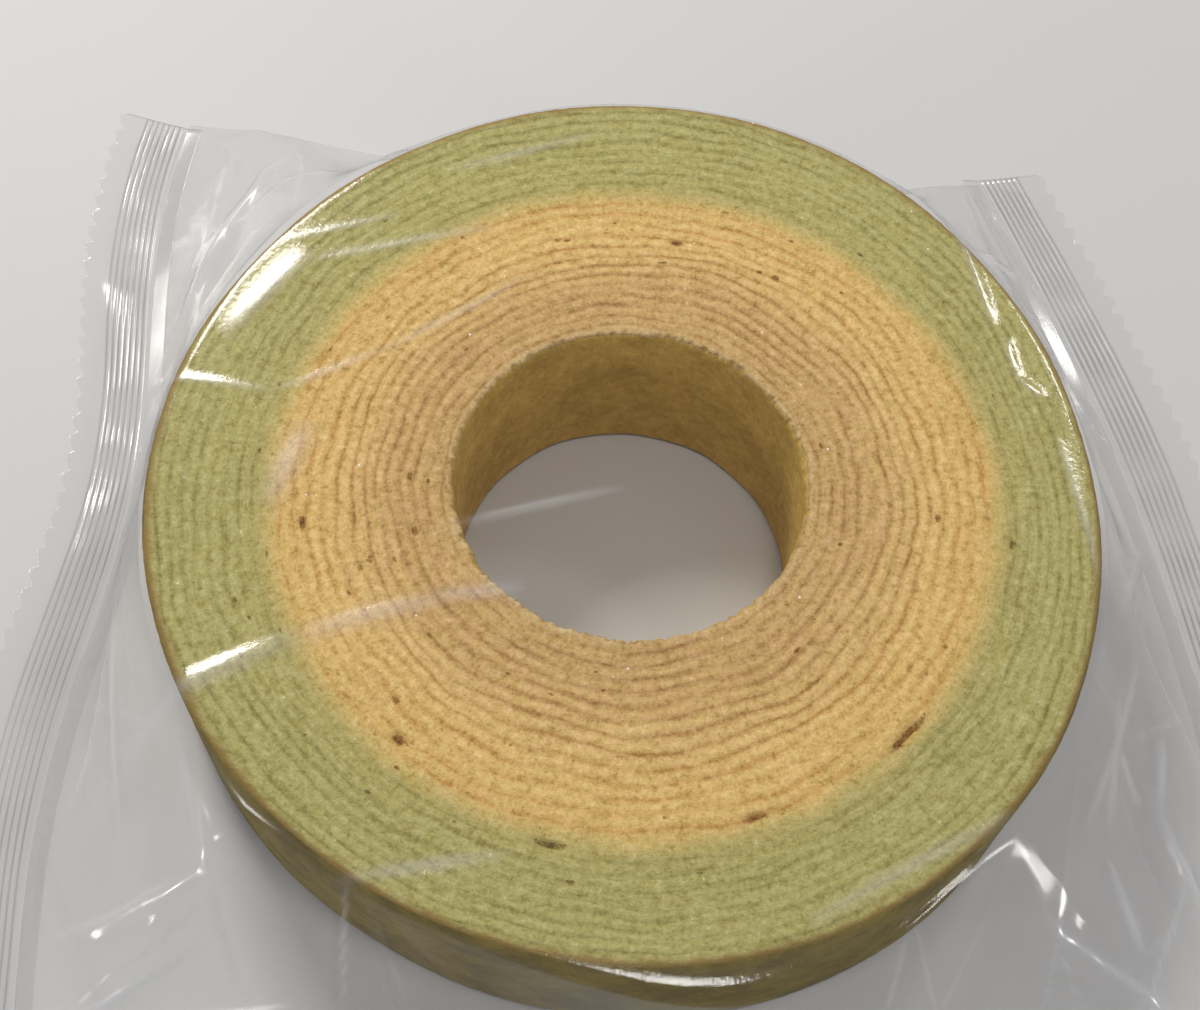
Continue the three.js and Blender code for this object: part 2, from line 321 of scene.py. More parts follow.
# %% Pits left by air bubbles
LARGE_PITS = (  # radius and place round the ring, then length, width and depth in mm
    (60, 318, 8.8, 1.25, 1.8), (62.2, 262, 5, 1.2, 1.1), (59, 291.5, 4, 1.2, 1.1),
    (57.8, 235, 2.8, 1.4, 1.2), (55, 192, 3.1, 1.3, 1.1), (63, 354, 2.2, 1.0, 1.0),
    (36.8, 198, 2.2, 1.0, 1.0), (53.8, 230, 1.3, 1.0, 0.6), (36.3, 182, 1.8, 0.9, 0.8),
    (50.2, 83, 2.4, 1.6, 0.5), (49.5, 61, 1.8, 1.0, 0.5), (50.4, 357, 1.6, 1.1, 0.6),
)
SMALL_PITS = 70
PIT_WALL = (0.35, 0.9)
PIT_SHARE = 0.6


def small_pits(seed):
    """Scattered small pits, most of them in the golden coats and along the joints."""
    random = np.random.default_rng(seed)
    pits = []
    for _ in range(SMALL_PITS):
        joint = random.integers(2, 19)
        radius = JOINTS[joint] / MM + random.normal(0, 0.35)
        length = random.uniform(0.6, 1.5)
        pits.append((radius, random.uniform(0, 360), length, random.uniform(0.4, 0.75),
                     random.uniform(0.1, 0.3)))
    return pits


def pit_places(radius, angle, pits):
    """1 in the middle of a pit, a half at its edge, and 0 at twice its size; then its depth."""
    inside = np.zeros_like(radius)
    depth = np.zeros_like(radius)
    for pit_radius, degrees, length, width, deep in pits:
        turn_away = (angle - math.radians(degrees) + math.pi) % math.tau - math.pi
        near = np.flatnonzero(
            (np.abs(radius - pit_radius * MM) < width * MM)
            & (np.abs(turn_away) * pit_radius < length))
        along = turn_away[near] * pit_radius * MM / (length * MM / 2)
        bow = 0.35 * math.sin(pit_radius * 7) * along * along
        across = (radius[near] - pit_radius * MM) / (width * MM / 2) + bow
        value = np.clip(1 - 0.5 * np.hypot(across, along), 0, 1)
        inside[near] = np.maximum(inside[near], value)
        depth[near] = np.maximum(depth[near], PIT_SHARE * deep * MM * soft_step(value, *PIT_WALL))
    return inside, depth


ALL_PITS = list(LARGE_PITS) + small_pits(3)
print(len(ALL_PITS), "pits in the upper face")

# %% Shape the cut faces and walls
GROOVE_DEPTH = 0.08 * MM
GROOVE_SHARE = 0.4
LAYER_WANDER = 0.25 * MM
FACE_UNEVENNESS = 0.15 * MM
WALL_BUMP = 0.14 * MM
RIM_CRUMBLE = 0.7 * MM
COAT_SHARE = 0.3


def layer_wander(radius, angle):
    inside = radius < SEAM_RADIUS
    low = np.where(inside, HOLE_RADIUS, SEAM_RADIUS)
    high = np.where(inside, SEAM_RADIUS, OUTER_RADIUS)
    hold = np.sin(np.pi * np.clip(share_between(radius, low, high), 0, 1))
    r_mm = radius / MM
    drift = np.sin(5 * angle + 0.31 * r_mm) + np.sin(9 * angle - 0.23 * r_mm)
    return LAYER_WANDER * hold * drift


def wall_bump(angle, height):
    lumps = np.sin(7 * angle + height / (6 * MM)) + np.sin(13 * angle - height / (9 * MM))
    return WALL_BUMP * lumps / 2


def face_unevenness(radius, angle):
    r_mm = radius / MM
    return FACE_UNEVENNESS * np.sin(6 * angle + r_mm / 5) * np.sin(4 * angle - r_mm / 7)


def groove(layer, angle):
    """A shallow dip along each joint but the one where the colour changes, uneven in depth."""
    away = np.abs(layer - np.round(layer))
    stretch = 0.65 + 0.35 * ring_noise(angle, layer * 1.7, 44, 11)
    stretch *= soft_step(np.abs(layer - GOLDEN_LAYERS), 0.3, 0.8)
    return GROOVE_DEPTH * stretch * (1 - soft_step(away, 0, GROOVE_SHARE))


def rim_crumble(radius, angle, height):
    """Bites out of the hole's upper rim, where the knife tore the first thin coat."""
    near_rim = 1 - soft_step(radius - HOLE_RADIUS, 0.2 * MM, 1.3 * MM)
    high = soft_step(height, HEIGHT - 2.5 * MM, HEIGHT)
    bites = 0.75 * np.maximum(0, ring_noise(angle, height * 0, 140, 5) - 0.15)
    bites += 0.5 * np.maximum(0, ring_noise(angle, height * 0, 380, 6))
    return RIM_CRUMBLE * near_rim * high * bites


def shape_ring(ring):
    """Moves every point of a plain ring to its place on the real cake."""
    mesh = ring.data
    points = read_points(mesh)
    radius = np.hypot(points[:, 0], points[:, 1])
    angle = np.arctan2(points[:, 1], points[:, 0])
    height = points[:, 2].copy()
    layer = layer_number(radius)
    top = height > HEIGHT - CRUST_ROUNDING
    bottom = height < FOOT_ROUNDING
    wall = (radius - HOLE_RADIUS < RIM_ROUNDING) | (OUTER_RADIUS - radius < CRUST_ROUNDING)
    seam = np.abs(radius - SEAM_RADIUS) < 1e-6
    inside_pit, pits = pit_places(radius, angle, ALL_PITS)
    inside_pit, pits = np.where(top, inside_pit, 0), np.where(top, pits, 0)
    moved = radius + outline_shift(radius, angle)
    moved += np.where(wall, wall_bump(angle, height), 0)
    moved += np.where(seam, 0, layer_wander(radius, angle))
    crumble = rim_crumble(radius, angle, height)
    moved += np.where(radius < HOLE_RADIUS + 2 * MM, crumble, 0)
    cut = np.where(top, face_unevenness(radius, angle) - groove(layer, angle) - pits, 0)
    cut = np.where(bottom & ~wall, groove(layer, angle), cut)
    height += cut - np.where(top, 0.6 * crumble, 0)
    place_points(mesh, moved * np.cos(angle), moved * np.sin(angle), height)
    write_attribute(mesh, "layer", layer)
    write_attribute(mesh, "pit", inside_pit)
    ring_place = np.stack([np.cos(angle), np.sin(angle), COAT_SHARE * layer], 1)
    write_attribute(mesh, "ring_place", ring_place, "FLOAT_VECTOR")
    mesh.update()
    print(ring.name, "is shaped; deepest pit", round(float(pits.max()) / MM, 2), "mm")


shape_ring(golden)
shape_ring(green)

# %% [markdown]
# The crumb is finer than the rings. A Displace modifier with a clouds texture raises real grains
# of about a millimetre, and bump in the finish adds what is finer. A vertex group leaves out
# the edge that the two rings share, so that no crack opens there.

# %% Raise the crumb
CRUMB_SIZE = 1.3 * MM
CRUMB_HEIGHT = 0.1 * MM


def raise_crumb(ring):
    grain = bpy.data.textures.new(ring.name + "_crumb", "CLOUDS")
    grain.noise_scale = CRUMB_SIZE
    grain.noise_depth = 0
    layers = np.empty(len(ring.data.vertices), np.float32)
    ring.data.attributes["layer"].data.foreach_get("value", layers)
    crumbly = ring.vertex_groups.new(name="crumbly")
    crumbly.add(np.flatnonzero(np.abs(layers - GOLDEN_LAYERS) > 1e-3).tolist(), 1.0, "REPLACE")
    bpy.ops.object.select_all(action="DESELECT")
    ring.select_set(True)
    bpy.context.view_layer.objects.active = ring
    displace = ring.modifiers.new("crumb", "DISPLACE")
    displace.texture = grain
    displace.texture_coords = "LOCAL"
    displace.strength = CRUMB_HEIGHT
    displace.mid_level = 0.5
    displace.vertex_group = crumbly.name
    bpy.ops.object.modifier_apply(modifier=displace.name)
    bpy.ops.object.shade_smooth()
    print(ring.name, "has its crumb:", len(ring.data.polygons), "faces")


raise_crumb(golden)
raise_crumb(green)

# %% [markdown]
# The finish of a cut face has three parts that every coat shares, so each is a node group:
# the colour that changes from the hole to the rim, the browned lines at the joints, and the
# grain of the crumb. Each material places the groups with its own values.

# %% Helpers for node groups
def new_group(name, inputs, outputs):
    """An empty shader group; inputs and outputs map a name to a socket type."""
    tree = bpy.data.node_groups.new(name, "ShaderNodeTree")
    for socket_name, (kind, value) in inputs.items():
        socket = tree.interface.new_socket(socket_name, in_out="INPUT", socket_type=kind)
        if value is not None:
            socket.default_value = value
    for socket_name, kind in outputs.items():
        tree.interface.new_socket(socket_name, in_out="OUTPUT", socket_type=kind)
    return tree, tree.nodes.new("NodeGroupInput"), tree.nodes.new("NodeGroupOutput")


def feed(tree, node, values):
    """Links each named or numbered input to a socket, or sets a plain value on it."""
    for name, value in values.items():
        if isinstance(value, bpy.types.NodeSocket):
            tree.links.new(value, node.inputs[name])
        else:
            node.inputs[name].default_value = value


def add_math(tree, operation, *values, clamp=False):
    node = tree.nodes.new("ShaderNodeMath")
    node.operation = operation
    node.use_clamp = clamp
    feed(tree, node, dict(enumerate(values)))
    return node.outputs[0]


def add_noise(tree, vector, scale, detail=3.0, roughness=0.55):
    node = tree.nodes.new("ShaderNodeTexNoise")
    feed(tree, node, {
        "Vector": vector, "Scale": scale, "Detail": detail, "Roughness": roughness})
    return node.outputs["Fac"]


def add_range(tree, value, low, high, to_low=0.0, to_high=1.0, smooth=True):
    node = tree.nodes.new("ShaderNodeMapRange")
    node.interpolation_type = "SMOOTHSTEP" if smooth else "LINEAR"
    feed(tree, node, dict(enumerate((value, low, high, to_low, to_high))))
    return node.outputs[0]


def add_mix(tree, factor, first, second, blend="MIX"):
    node = tree.nodes.new("ShaderNodeMix")
    node.data_type = "RGBA"
    node.blend_type = blend
    feed(tree, node, {0: factor, 6: first, 7: second})
    return node.outputs[2]


def screen_colour(red, green_part, blue):
    """A colour given as it looks on a screen, 0 to 255, as the linear values nodes use."""
    linear = []
    for part in (red, green_part, blue):
        value = part / 255
        linear.append(value / 12.92 if value <= 0.04045 else ((value + 0.055) / 1.055) ** 2.4)
    return (*linear, 1.0)


print("helpers for materials are ready")

# %% Node group: colour of the coats
COAT_COLOURS = (  # layer number, then the colour of its crumb
    (0.0, (210, 188, 136)),
    (0.9, (213, 178, 113)),
    (4.0, (215, 179, 113)),
    (7.5, (225, 191, 120)),
    (10.0, (229, 194, 120)),
    (12.9, (222, 189, 115)),
    (13.9, (198, 177, 106)),
    (14.4, (185, 171, 103)),
    (16.0, (185, 176, 107)),
    (22.3, (181, 173, 106)),
)


def make_coat_colours():
    tree, given, result = new_group(
        "coat_colours",
        {"Layer": ("NodeSocketFloat", 0.0), "Ring Place": ("NodeSocketVector", None),
         "Vector": ("NodeSocketVector", None)},
        {"Color": "NodeSocketColor", "Patches": "NodeSocketFloat", "Streaks": "NodeSocketFloat"})
    wander = add_noise(tree, given.outputs["Vector"], 110, 4, 0.65)
    wander = add_math(tree, "MULTIPLY_ADD", wander, 2.0, -1.0)
    place = add_math(tree, "ADD", given.outputs["Layer"], wander)
    place = add_math(tree, "DIVIDE", place, float(GOLDEN_LAYERS + GREEN_LAYERS))
    ramp = tree.nodes.new("ShaderNodeValToRGB")
    elements = ramp.color_ramp.elements
    while len(elements) < len(COAT_COLOURS):
        elements.new(0.5)
    for element, (layer, colour) in zip(elements, COAT_COLOURS):
        element.position = layer / (GOLDEN_LAYERS + GREEN_LAYERS)
        element.color = screen_colour(*colour)
    feed(tree, ramp, {"Fac": place})
    patches = add_noise(tree, given.outputs["Ring Place"], 5.5, 4, 0.6)
    streaks = add_noise(tree, given.outputs["Ring Place"], 21, 4, 0.65)
    feed(tree, result, {
        "Color": ramp.outputs["Color"], "Patches": add_range(tree, patches, 0.32, 0.68),
        "Streaks": add_math(tree, "SUBTRACT", streaks, 0.5)})
    return tree


coat_colours = make_coat_colours()
print("group", coat_colours.name, "blends", len(COAT_COLOURS), "colours")

# %% Node group: how the joints wander
def make_wandering_joints():
    tree, given, result = new_group(
        "wandering_joints",
        {"Layer": ("NodeSocketFloat", 0.0), "Vector": ("NodeSocketVector", None)},
        {"Layer": "NodeSocketFloat"})
    bend = add_noise(tree, given.outputs["Vector"], 90, 1)
    wobble = add_noise(tree, given.outputs["Vector"], 620, 3, 0.65)
    shift = add_math(tree, "MULTIPLY_ADD", bend, 1.2, -0.6)
    shift = add_math(tree, "MULTIPLY_ADD", wobble, 0.3, add_math(tree, "SUBTRACT", shift, 0.15))
    feed(tree, result, {"Layer": add_math(tree, "ADD", given.outputs["Layer"], shift)})
    return tree


wandering_joints = make_wandering_joints()
print("group", wandering_joints.name, "is ready")

# %% Node group: browned lines between the coats
def make_browned_lines():
    tree, given, result = new_group(
        "browned_lines",
        {"Layer": ("NodeSocketFloat", 0.0), "Ring Place": ("NodeSocketVector", None),
         "Thickness": ("NodeSocketFloat", 0.2), "Breaks": ("NodeSocketFloat", 3.0)},
        {"Mask": "NodeSocketFloat"})
    thickness = given.outputs["Thickness"]
    part = add_math(tree, "FRACT", given.outputs["Layer"])
    away = add_math(tree, "ABSOLUTE", add_math(tree, "SUBTRACT", part, 0.5))
    near = add_math(tree, "MULTIPLY", away, 2.0)
    core = add_range(tree, near, add_math(tree, "SUBTRACT", 1.0, thickness), 1.0)
    halo = add_range(tree, near, add_math(tree, "MULTIPLY_ADD", thickness, -2.2, 1.0), 1.0)
    line = add_math(tree, "MULTIPLY_ADD", halo, 0.6, add_math(tree, "MULTIPLY", core, 0.4))
    breaks = add_noise(tree, given.outputs["Ring Place"], given.outputs["Breaks"], 4, 0.6)
    stretch = add_range(tree, breaks, 0.36, 0.64, 0.32, 1.0)
    feed(tree, result, {"Mask": add_math(tree, "MULTIPLY", line, stretch)})
    return tree


browned_lines = make_browned_lines()
print("group", browned_lines.name, "is ready")

# %% Node group: grain of the crumb
def make_crumb_grain():
    tree, given, result = new_group(
        "crumb_grain",
        {"Vector": ("NodeSocketVector", None), "Fine": ("NodeSocketFloat", 1500.0),
         "Coarse": ("NodeSocketFloat", 760.0)},
        {"Shade": "NodeSocketFloat", "Pore Shade": "NodeSocketFloat", "Speck Glints": "NodeSocketFloat",
         "Height": "NodeSocketFloat"})
    fine = add_noise(tree, given.outputs["Vector"], given.outputs["Fine"], 3, 0.8)
    coarse = add_noise(tree, given.outputs["Vector"], given.outputs["Coarse"], 2, 0.6)
    shade = add_math(tree, "SUBTRACT", add_math(tree, "MULTIPLY_ADD", coarse, 0.7, fine), 0.85)
    low = add_math(tree, "MULTIPLY", coarse, fine)
    pores = add_range(tree, low, 0.1, 0.18, 1.0, 0.0)
    feed(tree, result, {
        "Shade": shade, "Pore Shade": pores, "Speck Glints": add_range(tree, low, 0.43, 0.47),
        "Height": add_math(tree, "MULTIPLY_ADD", pores, -0.1, shade)})
    return tree


crumb_grain = make_crumb_grain()
print("group", crumb_grain.name, "is ready")

# %% Helpers that place a group and start a material
def place_group(tree, group, values):
    node = tree.nodes.new("ShaderNodeGroup")
    node.node_tree = group
    feed(tree, node, values)
    return node


def new_material(name, roughness):
    material = bpy.data.materials.new(name)
    material.use_nodes = True
    shader = material.node_tree.nodes["Principled BSDF"]
    shader.inputs["Roughness"].default_value = roughness
    return material, material.node_tree, shader


def mesh_attribute(tree, name):
    node = tree.nodes.new("ShaderNodeAttribute")
    node.attribute_name = name
    return node


def object_place(tree):
    return tree.nodes.new("ShaderNodeTexCoord").outputs["Object"]


def add_bump(tree, shader, height, depth):
    bump = tree.nodes.new("ShaderNodeBump")
    feed(tree, bump, {"Height": height, "Distance": depth})
    feed(tree, shader, {"Normal": bump.outputs["Normal"]})


print("helpers for finishes are ready")

# %% [markdown]
# The cut crumb itself. Its colour comes from the coat, darkened along the joints with a brown
# that is deeper near the hole, where the first coats baked longest. Pits are painted darker:
# the brown of their walls, and painted shade in their depths. It is dry, so the gloss is low,
# but here and there a painted glint shows: a bright dot painted into the colour in the few
# random cells that the face cuts.

# %% Material of the cut faces
INNER_LINE = screen_colour(148, 100, 42)
MIDDLE_LINE = screen_colour(192, 138, 62)
GREEN_LINE = screen_colour(132, 124, 60)
PINK_TAN = screen_colour(200, 158, 104)
RED_TAN = screen_colour(186, 132, 72)
PORE_SHADE_BROWN = screen_colour(160, 118, 48)
PAINTED_SPECK_GLINT = screen_colour(250, 236, 200)
CRUST_BROWN = screen_colour(146, 118, 56)
PAINTED_GLINT_WHITE = screen_colour(255, 252, 240)
GLINT_CELLS = 120
GLINT_SIZE = 0.03
GOLDEN_PIT_BROWN_AND_SHADE = (screen_colour(168, 116, 40), screen_colour(98, 60, 12))
GREEN_PIT_BROWN_AND_SHADE = (screen_colour(138, 112, 40), screen_colour(98, 72, 16))
SPONGE_ROUGHNESS = 0.85
NEAR_HOLE = (3.0, 13.0)  # coats over which the brown of the hole's side fades
IN_GREEN = (13.2, 15.0)  # coats over which the golden crumb turns green
AT_RIM = (22.0, 22.8)  # coats over which the crumb turns into crust
PINK_SHARE = 0.5
FLUSH_SHARE = 0.45
SPECK_GLINT_SHARE = 0.7
FACE_SHADES = (0.72, 1.25)
GREEN_POWER = 1.15
BLUE_POWER = 2.3
MAIN_BREAKS = 3.0
FAINT_BREAKS = 4.7
FAINT_THICKNESS = 0.3
FACE_BUMP = 0.25 * MM


def add_shade(tree, value):
    """Light and dark as a colour: in baked crumb the dark is browner and the light is paler."""
    node = tree.nodes.new("ShaderNodeCombineColor")
    feed(tree, node, {
        0: value, 1: add_math(tree, "POWER", value, GREEN_POWER),
        2: add_math(tree, "POWER", value, BLUE_POWER)})
    return node.outputs[0]


def add_painted_glints(tree, place):
    """A mask of rare painted glints: one in each random 8 mm cell that has one at the face."""
    cells = tree.nodes.new("ShaderNodeTexVoronoi")
    feed(tree, cells, {"Vector": place, "Scale": GLINT_CELLS})
    return add_range(tree, cells.outputs["Distance"], 0.5 * GLINT_SIZE, GLINT_SIZE, 1.0, 0.0)


def joint_brown(tree, nominal, layer, ring_place, grain, streaks, thickness, strength):
    """How brown the crumb is: strong lines at the joints and faint ones between, torn by grain."""
    strong = place_group(tree, browned_lines, {
        "Layer": layer, "Ring Place": ring_place, "Thickness": thickness, "Breaks": MAIN_BREAKS})
    faint = place_group(tree, browned_lines, {
        "Layer": add_math(tree, "MULTIPLY_ADD", layer, 1.07, 0.45), "Ring Place": ring_place,
        "Thickness": FAINT_THICKNESS, "Breaks": FAINT_BREAKS})
    both = add_math(tree, "MULTIPLY_ADD", faint.outputs["Mask"], 0.3, strong.outputs["Mask"])
    rough = add_math(tree, "ADD", grain.outputs["Shade"], streaks)
    rough = add_range(tree, rough, -0.3, 0.25, 1.2, 0.8)
    brown = add_math(tree, "MULTIPLY", add_math(tree, "MULTIPLY", both, rough), strength)
    from_seam = add_math(tree, "SUBTRACT", nominal, float(GOLDEN_LAYERS))
    from_seam = add_math(tree, "ABSOLUTE", from_seam)
    return add_math(tree, "MULTIPLY", brown, add_range(tree, from_seam, 0.2, 0.9), clamp=True)


def cut_face_material(name, thickness, strength, pit_brown_and_shade, pore_shade_share):
    """Crumb with joints browned by thickness and strength, and pits in brown and painted shade."""
    material, tree, shader = new_material(name, SPONGE_ROUGHNESS)
    place = object_place(tree)
    nominal = mesh_attribute(tree, "layer").outputs["Fac"]
    ring_place = mesh_attribute(tree, "ring_place").outputs["Vector"]
    pit = mesh_attribute(tree, "pit").outputs["Fac"]
    layer = place_group(tree, wandering_joints, {"Layer": nominal, "Vector": place}).outputs[0]
    coats = place_group(tree, coat_colours, {
        "Layer": nominal, "Ring Place": ring_place, "Vector": place})
    streaks = coats.outputs["Streaks"]
    grain = place_group(tree, crumb_grain, {"Vector": place})
    near_hole = add_range(tree, nominal, *NEAR_HOLE, 1.0, 0.0)
    in_green = add_range(tree, nominal, *IN_GREEN)
    pink = add_range(tree, near_hole, 0, 1, 0.0, PINK_SHARE)
    pink = add_math(tree, "MULTIPLY", coats.outputs["Patches"], pink)
    colour = add_mix(tree, pink, coats.outputs["Color"], PINK_TAN)
    flush = add_range(tree, streaks, 0.02, 0.2, 0.0, FLUSH_SHARE)
    flush = add_math(tree, "MULTIPLY", flush, add_math(tree, "SUBTRACT", 1.0, in_green))
    colour = add_mix(tree, flush, colour, RED_TAN)
    brown = joint_brown(tree, nominal, layer, ring_place, grain, streaks, thickness, strength)
    line_colour = add_mix(tree, near_hole, MIDDLE_LINE, INNER_LINE)
    line_colour = add_mix(tree, in_green, line_colour, GREEN_LINE)
    colour = add_mix(tree, brown, colour, line_colour)
    shade = add_math(tree, "MULTIPLY_ADD", streaks, 0.5, grain.outputs["Shade"])
    shade = add_range(tree, shade, -0.3, 0.3, *FACE_SHADES, smooth=False)
    colour = add_mix(tree, 1.0, colour, add_shade(tree, shade), "MULTIPLY")
    # painted shade: the crumb's tiny pores are painted a darker brown
    pores = add_math(tree, "MULTIPLY", grain.outputs["Pore Shade"], pore_shade_share)
    colour = add_mix(tree, pores, colour, PORE_SHADE_BROWN)
    # pale specks painted into the colour as faint painted glints
    speck_glints = add_math(tree, "MULTIPLY", grain.outputs["Speck Glints"], SPECK_GLINT_SHARE)
    colour = add_mix(tree, speck_glints, colour, PAINTED_SPECK_GLINT)
    torn = add_math(tree, "MULTIPLY_ADD", grain.outputs["Shade"], 1.3, pit)
    torn = add_math(tree, "MULTIPLY", torn, add_range(tree, pit, 0.0, 0.3))
    hole = add_range(tree, torn, 0.4, 0.75)
    # pits: the brown of their walls, then a darker painted shade in their middles
    colour = add_mix(tree, hole, colour, pit_brown_and_shade[0])
    colour = add_mix(tree, add_range(tree, torn, 0.62, 1.0), colour, pit_brown_and_shade[1])
    ragged = add_math(tree, "MULTIPLY_ADD", add_noise(tree, place, 260, 3), 0.9, -0.45)
    rim = add_range(tree, add_math(tree, "ADD", nominal, ragged), *AT_RIM)
    colour = add_mix(tree, rim, colour, CRUST_BROWN)
    # painted glints: bright dots painted into the colour
    colour = add_mix(tree, add_painted_glints(tree, place), colour, PAINTED_GLINT_WHITE)
    feed(tree, shader, {"Base Color": colour})
    height = add_math(tree, "MULTIPLY_ADD", hole, -0.8, grain.outputs["Height"])
    add_bump(tree, shader, height, FACE_BUMP)
    return material


golden_finish = cut_face_material("golden_sponge", 0.45, 0.7, GOLDEN_PIT_BROWN_AND_SHADE, 0.3)
green_finish = cut_face_material("green_sponge", 0.55, 0.62, GREEN_PIT_BROWN_AND_SHADE, 0.15)
print("materials for the cut faces are ready")

# %% [markdown]
# The walls are skins, not crumb. The outer one is the last coat, browned all over to a dull
# olive brown; the inner one lay against the roller, and is a paler, more golden tan, made more
# yellow by a painted warm glow of light bounced up from below. Both are blotchy, which broad and
# fine noise give together.

# %% Materials of the walls
WALL_ROUGHNESS = 0.8
WALL_SHADES = (0.76, 1.2)
WALL_BUMP_DEPTH = 0.15 * MM


def wall_material(name, pale, dark, broad, fine):
    """A blotchy skin in two colours; broad and fine are the scales of its blotches and grain."""
    material, tree, shader = new_material(name, WALL_ROUGHNESS)
    place = object_place(tree)
    blotch = add_range(tree, add_noise(tree, place, broad, 4, 0.6), 0.36, 0.64)
    colour = add_mix(tree, blotch, dark, pale)
    grain = place_group(tree, crumb_grain, {"Vector": place, "Fine": fine, "Coarse": 600.0})
    shade = add_range(tree, grain.outputs["Shade"], -0.3, 0.3, *WALL_SHADES, smooth=False)
    colour = add_mix(tree, 1.0, colour, add_shade(tree, shade), "MULTIPLY")
    feed(tree, shader, {"Base Color": colour})
    add_bump(tree, shader, grain.outputs["Height"], WALL_BUMP_DEPTH)
    return material


crust_finish = wall_material(
    "browned_crust", screen_colour(140, 121, 42), screen_colour(114, 98, 30), 130, 1700.0)
# the roller side: a golden tan with painted yellow bounced light in it
hole_finish = wall_material(
    "roller_side", screen_colour(210, 176, 86), screen_colour(194, 160, 70), 150, 2200.0)
print("materials for the walls are ready")

# %% Dress the two bands
WALL_NORMAL_LIMIT = 0.6
WALL_TOP = HEIGHT - 0.4 * MM


def face_heights(mesh, field):
    """The upward part of each face's normal or centre."""
    values = np.empty(len(mesh.polygons) * 3, np.float32)
    mesh.polygons.foreach_get(field, values)
    return values[2::3]


def dress(ring, face_finish, wall_finish):
    """The cut faces take one finish and the wall that shows takes the other."""
    mesh = ring.data
    mesh.materials.append(face_finish)
    mesh.materials.append(wall_finish)
    level = np.abs(face_heights(mesh, "normal")) < WALL_NORMAL_LIMIT
    below_rim = face_heights(mesh, "center") < WALL_TOP
    wall = (level & below_rim).astype(np.int32)
    mesh.polygons.foreach_set("material_index", wall)
    mesh.update()
    print(ring.name, "has", int(wall.sum()), "wall faces")


dress(golden, golden_finish, hole_finish)
dress(green, green_finish, crust_finish)
for ring, node, slot in ((golden, "golden_layers", "golden_sponge"),
                         (green, "green_layers", "green_sponge")):
    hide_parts(node)
    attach(ring, "root")

# %% [markdown]
# The slice was sold sealed in a clear flow wrap: one tube of film, pulled tight over the top,
# with a crimped seal across each end. The tube is half as wide as the way round the cake, so it
# hugs the front and the back and spreads into flat ears towards the seals. Cloth simulation
# could drape it, but film doesn't stretch or fall like cloth, so a formula gives the same
# outline as the solid: at each place, what the top and the slopes don't use lies on the floor.

# %% Outline of the wrap
WRAP_FLAT_WIDTH = 197 * MM
WRAP_HUG = 1.2 * MM
WRAP_TOP = HEIGHT + 0.5 * MM
WRAP_FOOT = 0.5 * MM
WRAP_UNDERSIDE = -0.1 * MM
WRAP_RIM_GAP = 0.3 * MM
LEFT_REACH = 94 * MM
LEFT_WAVE = 2.5 * MM
LEFT_WAVE_LENGTH = 126 * MM
LEFT_CREST = 74 * MM
RIGHT_REACH = 113 * MM
RIGHT_SLANT = 45 * MM
HALVINGS = 40


def seal_reach(side, y):
    """How far a seal starts from the roller's axis; side is -1 on the left, 1 on the right."""
    if side < 0:
        return LEFT_REACH + LEFT_WAVE * np.cos(math.tau * (y - LEFT_CREST) / LEFT_WAVE_LENGTH)
    along = y / WRAP_FLAT_WIDTH + 0.5
    return RIGHT_REACH - RIGHT_SLANT * along * along


def wrap_half_width(x):
    """Half the width that the tube covers where it spans x."""
    top_half = np.sqrt(np.maximum(OUTER_RADIUS ** 2 - x ** 2, 0))
    spare = WRAP_FLAT_WIDTH - 2 * top_half
    overhang = np.maximum((spare ** 2 - WRAP_TOP ** 2) / (2 * spare), 0)
    return top_half + overhang + WRAP_HUG


def wrap_reach(angle):
    """How far the wrap's foot lies from the roller's axis at an angle, found by halving."""
    near = np.full_like(angle, OUTER_RADIUS)
    far = np.full_like(angle, WRAP_FLAT_WIDTH)
    for _ in range(HALVINGS):
        middle = (near + far) / 2
        x, y = middle * np.cos(angle), middle * np.sin(angle)
        under = (x < seal_reach(1, y)) & (-x < seal_reach(-1, y)) & (np.abs(y) < wrap_half_width(x))
        near = np.where(under, middle, near)
        far = np.where(under, far, middle)
    return near


corner_reach = wrap_reach(np.radians(np.array([55.0, 135.0, 225.0, 320.0])))
print("the wrap's corners lie", np.round(corner_reach / MM, 1), "mm from the axis")

# %% [markdown]
# The film starts as the plain section of a drum: top, side and underside, open at the axis.
# It is divided and turned like the two rings. One piece would get too many faces, so the drum
# is parted at the shoulder, a little below the rim, and both parts are then pulled into shape
# by one formula, which leaves no gap between them.

# %% Turn a plain drum
DRUM_STEPS = 720
DRUM_TOP_CUTS = 110
DRUM_SIDE_CUTS = 83
DRUM_UNDERSIDE_CUTS = 5
SHOULDER = WRAP_TOP - 0.14 * (WRAP_TOP - WRAP_UNDERSIDE)


def divide_where(mesh, test, cuts):
    select_where(mesh, test)
    bpy.ops.mesh.subdivide(number_cuts=cuts)


